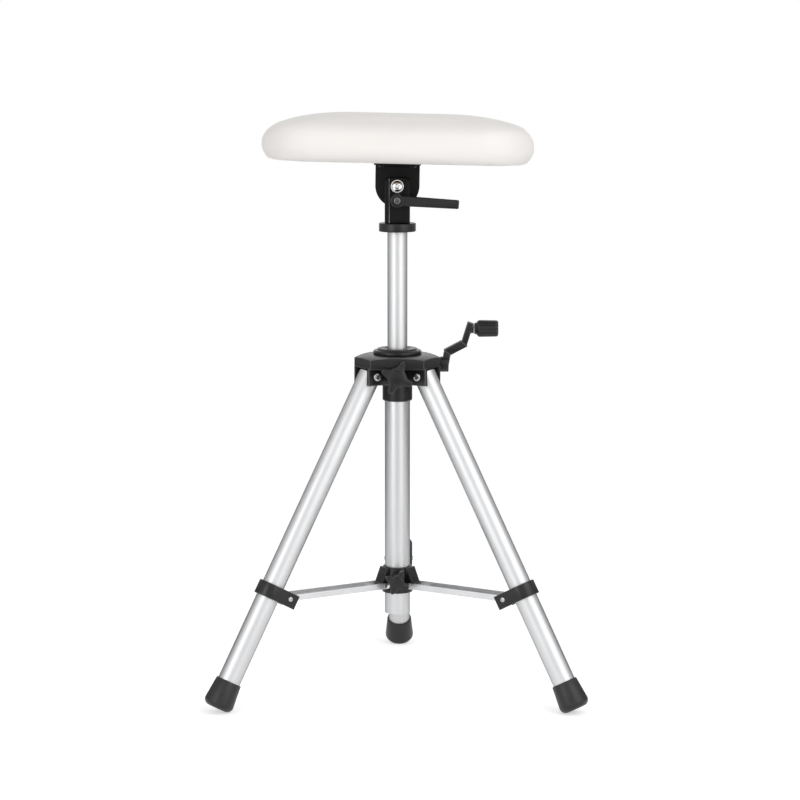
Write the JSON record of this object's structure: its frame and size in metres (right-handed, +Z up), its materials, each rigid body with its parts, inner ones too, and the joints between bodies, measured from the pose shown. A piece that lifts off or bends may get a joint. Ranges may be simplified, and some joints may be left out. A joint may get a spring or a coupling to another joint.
{
  "type": "pedicure footrest",
  "caption": "Height-adjustable pedicure footrest: upholstered tilting pad on a cranked mast over a folding tripod stand with spreader struts and lock knobs.",
  "frame": {"origin": "on the floor, under the middle of the bounding box", "axes": "+Z up, +X to the side with the crank and the tilt lever, -Y to the front, where the two lock knobs are"},
  "size_m": [0.4166, 0.3656, 0.644],
  "materials": {
    "black_plastic": "satin",
    "satin_aluminium": "satin",
    "bright_steel": "polished",
    "blackened_steel": "satin",
    "black_rubber": "matte",
    "white_vinyl": "satin",
    "plywood": "matte"
  },
  "bodies": {
    "stand": {"shoulder_casting": "black_plastic", "collar_cap": "black_plastic", "column_tube": "satin_aluminium", "column_plug": "black_plastic", "hinge_bolt_left": "bright_steel", "hinge_bolt_right": "bright_steel", "hinge_bolt_rear": "bright_steel", "hinge_nut_left": "bright_steel", "hinge_nut_right": "bright_steel", "hinge_nut_rear": "bright_steel"},
    "mast": {"mast_tube": "satin_aluminium", "rack": "bright_steel", "mast_foot": "black_plastic", "head_ring": "black_plastic", "clevis_head": "black_plastic", "pivot_bolt": "bright_steel", "pivot_nut": "bright_steel", "lever_nut": "bright_steel"},
    "lever": {"tilt_lever": "black_plastic", "lever_stud": "blackened_steel"},
    "pad": {"tilt_bracket": "black_plastic", "pad_board": "plywood", "cushion": "white_vinyl", "flange_screw_front_left": "blackened_steel", "flange_screw_front_right": "blackened_steel", "flange_screw_rear_left": "blackened_steel", "flange_screw_rear_right": "blackened_steel"},
    "lock": {"lock_knob": "black_plastic", "lock_stud": "bright_steel"},
    "crank": {"pinion_shaft": "bright_steel", "crank_arm": "black_plastic", "grip_pin": "bright_steel"},
    "grip": {"crank_grip": "black_plastic"},
    "hub": {"spreader_hub": "black_plastic", "strut_pin_left": "bright_steel", "strut_pin_right": "bright_steel", "strut_pin_rear": "bright_steel"},
    "hub_lock": {"hub_knob": "black_plastic", "hub_stud": "bright_steel"},
    "strut_left": {"strut_left": "satin_aluminium"},
    "leg_left": {"leg_tube_left": "satin_aluminium", "leg_plug_left": "black_plastic", "foot_left": "black_rubber", "clamp_left": "black_plastic", "rivet_left_a": "bright_steel", "rivet_left_b": "bright_steel"},
    "strut_right": {"strut_right": "satin_aluminium"},
    "leg_right": {"leg_tube_right": "satin_aluminium", "leg_plug_right": "black_plastic", "foot_right": "black_rubber", "clamp_right": "black_plastic", "rivet_right_a": "bright_steel", "rivet_right_b": "bright_steel"},
    "strut_rear": {"strut_rear": "satin_aluminium"},
    "leg_rear": {"leg_tube_rear": "satin_aluminium", "leg_plug_rear": "black_plastic", "foot_rear": "black_rubber", "clamp_rear": "black_plastic", "rivet_rear_a": "bright_steel", "rivet_rear_b": "bright_steel"}
  },
  "joints": [
    {"name": "mast_lift", "type": "slide", "parent": "stand", "child": "mast", "axis": [0, 0, 1], "range_m": [-0.09, 0.11]},
    {"name": "crank_turn", "type": "hinge", "parent": "stand", "child": "crank", "pos_m": [0, -0.04046, 0.3655], "axis": [1, 0, 0], "range_deg": [-1401, 1147]},
    {"name": "grip_spin", "type": "hinge", "parent": "crank", "child": "grip", "pos_m": [0, -0.04046, 0.4055], "axis": [1, 0, 0], "continuous": true},
    {"name": "pad_tilt", "type": "hinge", "parent": "mast", "child": "pad", "pos_m": [0, -0.05516, 0.565], "axis": [0, 1, 0], "range_deg": [-30, 30]},
    {"name": "lever_turn", "type": "hinge", "parent": "mast", "child": "lever", "pos_m": [0, -0.05516, 0.5497], "axis": [0, 1, 0], "range_deg": [0, 45]},
    {"name": "lock_turn", "type": "hinge", "parent": "stand", "child": "lock", "pos_m": [0, -0.05516, 0.3587], "axis": [0, -1, 0], "range_deg": [0, 360]},
    {"name": "leg_fold_rear", "type": "hinge", "parent": "stand", "child": "leg_rear", "pos_m": [0, -0.02016, 0.357], "axis": [-1, 0, 0], "range_deg": [0, 25]},
    {"name": "leg_fold_left", "type": "hinge", "parent": "stand", "child": "leg_left", "pos_m": [-0.03031, -0.07266, 0.357], "axis": [0.5, -0.866, 0], "range_deg": [0, 25]},
    {"name": "leg_fold_right", "type": "hinge", "parent": "stand", "child": "leg_right", "pos_m": [0.03031, -0.07266, 0.357], "axis": [0.5, 0.866, 0], "range_deg": [0, 25]},
    {"name": "hub_slide", "type": "slide", "parent": "stand", "child": "hub", "axis": [0, 0, 1], "range_m": [0, 0.082]},
    {"name": "hub_lock_turn", "type": "hinge", "parent": "hub", "child": "hub_lock", "pos_m": [0, -0.05516, 0.1267], "axis": [0, -1, 0], "range_deg": [0, 360]},
    {"name": "strut_turn_left", "type": "hinge", "parent": "hub", "child": "strut_left", "pos_m": [-0.01689, -0.06491, 0.12051], "axis": [0.5, -0.866, 0], "range_deg": [0, 87.05]},
    {"name": "strut_turn_right", "type": "hinge", "parent": "hub", "child": "strut_right", "pos_m": [0.01689, -0.06491, 0.12051], "axis": [0.5, 0.866, 0], "range_deg": [0, 87.05]},
    {"name": "strut_turn_rear", "type": "hinge", "parent": "hub", "child": "strut_rear", "pos_m": [0, -0.03566, 0.12051], "axis": [-1, 0, 0], "range_deg": [0, 87.05]}
  ],
  "couplings": [
    {"joint": "crank_turn", "follows": "mast_lift", "rad_per_m": -222.22},
    {"joint": "leg_fold_left", "follows": "leg_fold_rear", "ratio": 1},
    {"joint": "leg_fold_right", "follows": "leg_fold_rear", "ratio": 1},
    {"joint": "hub_slide", "follows": "leg_fold_rear", "m_per_rad": 0.18793},
    {"joint": "strut_turn_left", "follows": "leg_fold_rear", "ratio": 3.482},
    {"joint": "strut_turn_right", "follows": "leg_fold_rear", "ratio": 3.482},
    {"joint": "strut_turn_rear", "follows": "leg_fold_rear", "ratio": 3.482}
  ]
}
